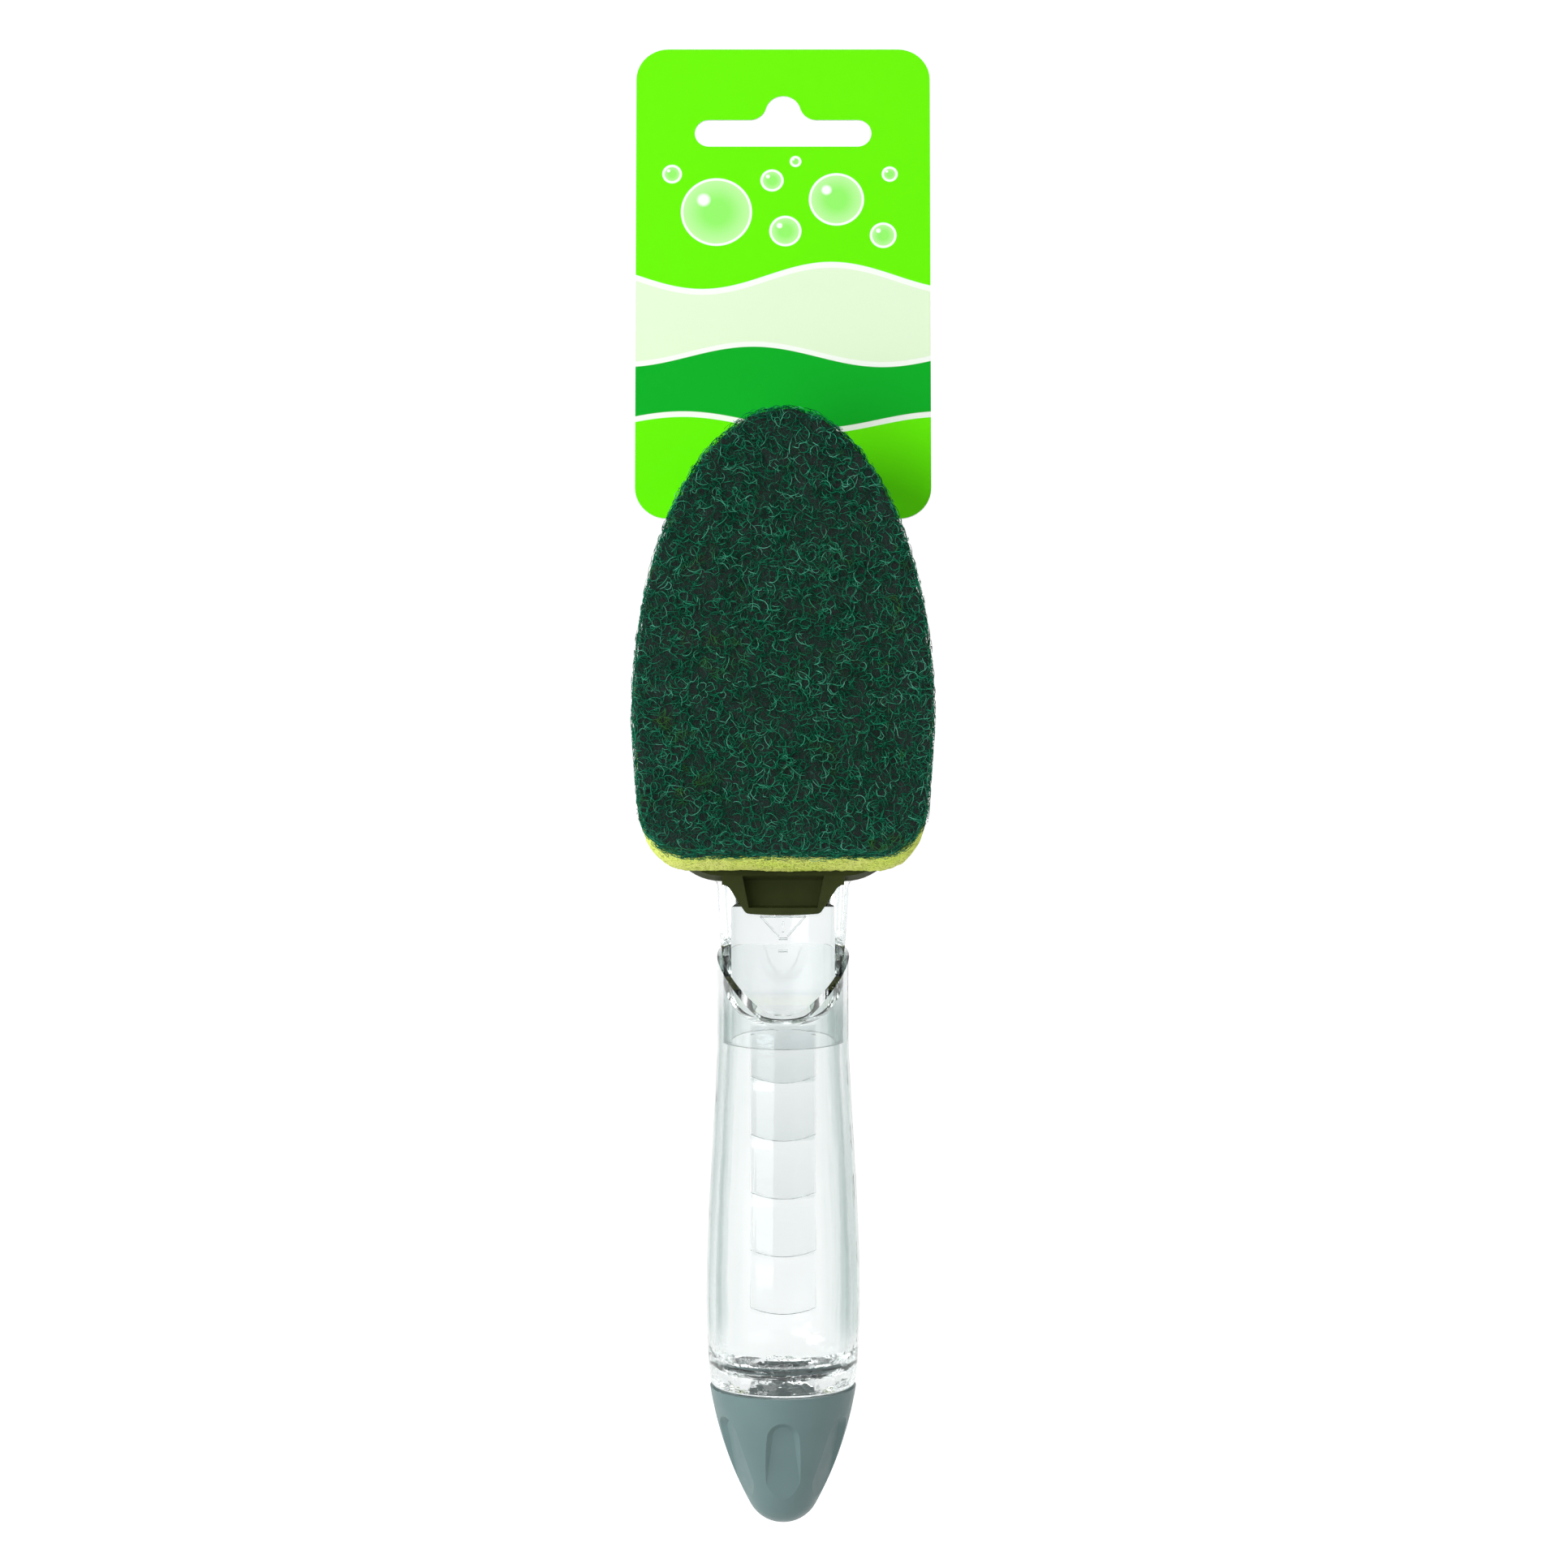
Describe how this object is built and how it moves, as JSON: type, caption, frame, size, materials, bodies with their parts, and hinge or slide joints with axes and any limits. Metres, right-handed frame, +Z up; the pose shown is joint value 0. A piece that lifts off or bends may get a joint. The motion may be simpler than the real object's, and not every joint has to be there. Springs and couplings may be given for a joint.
{
  "type": "dish wand",
  "caption": "Soap dispensing dish wand with a clear hollow handle, fluted screw cap and slide-on scouring sponge head, on a display card with a hang hole.",
  "frame": {"origin": "centre of the round top of the card's hang hole, halfway through the card", "axes": "+Z up along the handle towards the head, parallel to the handle's axis; -Y towards the side that the scouring face looks to; +X to the right when looking along +Y"},
  "size_m": [0.0662, 0.1063, 0.3214],
  "materials": {
    "clear_plastic": "clear, polished",
    "slate_plastic": "satin",
    "olive_plastic": "satin",
    "sponge_foam": "open-cell foam",
    "scouring_fibre": "coarse nonwoven fibre",
    "lime_card": "printed, semi-gloss",
    "white_silicone": "soft"
  },
  "bodies": {
    "refill": {"refill_base": "olive_plastic", "sponge": "sponge_foam", "scouring_pad": "scouring_fibre", "hang_card": "lime_card"},
    "handle": {"reservoir": "clear_plastic", "neck_paddle": "clear_plastic", "slit_valve": "white_silicone", "valve_retainer": "slate_plastic"},
    "washer": {"cap_gasket": "white_silicone"},
    "cap": {"cap": "slate_plastic"}
  },
  "joints": [
    {"name": "handle_slide", "type": "slide", "parent": "refill", "child": "handle", "axis": [0, -0.4226, -0.9063], "range_m": [0, 0.058]},
    {"name": "cap_lift", "type": "slide", "parent": "handle", "child": "washer", "axis": [0, 0, -1], "range_m": [0, 0.0071]},
    {"name": "cap_turn", "type": "hinge", "parent": "washer", "child": "cap", "pos_m": [0, -0.07611, -0.27642], "axis": [0, 0, -1], "range_deg": [0, 630]}
  ],
  "couplings": [
    {"joint": "cap_lift", "follows": "cap_turn", "m_per_rad": 0.00063662}
  ]
}
